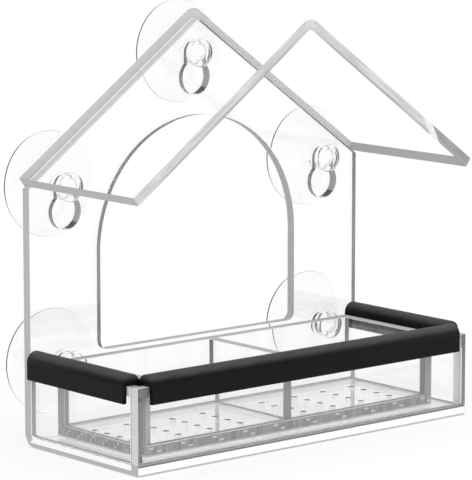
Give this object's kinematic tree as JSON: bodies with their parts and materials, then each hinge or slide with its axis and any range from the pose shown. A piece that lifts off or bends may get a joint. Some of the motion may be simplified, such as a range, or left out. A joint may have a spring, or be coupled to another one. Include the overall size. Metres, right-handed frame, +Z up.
{
  "type": "window bird feeder",
  "caption": "Clear house-shaped window bird feeder: bent acrylic back and roof, low panels with black rubber perches, divided lift-out seed tray, suction cups.",
  "frame": {"origin": "centre of the underside of the base", "axes": "+Z up, +Y toward the window, +X to the right seen from the front"},
  "size_m": [0.262, 0.1204, 0.2524],
  "materials": {
    "clear_acrylic": "clear polished acrylic sheet with flame-polished edges",
    "tray_acrylic": "clear polished acrylic sheet",
    "black_rubber": "smooth satin black rubber",
    "clear_vinyl": "soft clear vinyl"
  },
  "bodies": {
    "house": {"base_and_back_sheet": "clear_acrylic", "roof_sheet": "clear_acrylic", "front_panel": "clear_acrylic", "left_side_panel": "clear_acrylic", "right_side_panel": "clear_acrylic", "front_perch_cover": "black_rubber", "left_perch_cover": "black_rubber", "right_perch_cover": "black_rubber"},
    "seed_tray": {"tray_floor": "tray_acrylic", "tray_front_wall": "tray_acrylic", "tray_back_wall": "tray_acrylic", "tray_left_wall": "tray_acrylic", "tray_right_wall": "tray_acrylic", "tray_divider": "tray_acrylic"},
    "top_cup": {"top_suction_cup": "clear_vinyl"},
    "upper_left_cup": {"upper_left_suction_cup": "clear_vinyl"},
    "upper_right_cup": {"upper_right_suction_cup": "clear_vinyl"},
    "lower_left_cup": {"lower_left_suction_cup": "clear_vinyl"},
    "lower_right_cup": {"lower_right_suction_cup": "clear_vinyl"}
  },
  "joints": [
    {"name": "tray_lift", "type": "slide", "parent": "house", "child": "seed_tray", "axis": [0, 0, 1], "range_m": [0, 0.052]},
    {"name": "top_cup_slide", "type": "slide", "parent": "house", "child": "top_cup", "axis": [0, 0, -1], "range_m": [0, 0.0147]},
    {"name": "upper_left_cup_slide", "type": "slide", "parent": "house", "child": "upper_left_cup", "axis": [0, 0, -1], "range_m": [0, 0.0147]},
    {"name": "upper_right_cup_slide", "type": "slide", "parent": "house", "child": "upper_right_cup", "axis": [0, 0, -1], "range_m": [0, 0.0147]},
    {"name": "lower_left_cup_turn", "type": "hinge", "parent": "house", "child": "lower_left_cup", "pos_m": [-0.1, 0.0525, 0.0457], "axis": [0, 1, 0], "continuous": true},
    {"name": "lower_right_cup_turn", "type": "hinge", "parent": "house", "child": "lower_right_cup", "pos_m": [0.1, 0.0525, 0.0457], "axis": [0, 1, 0], "continuous": true}
  ]
}
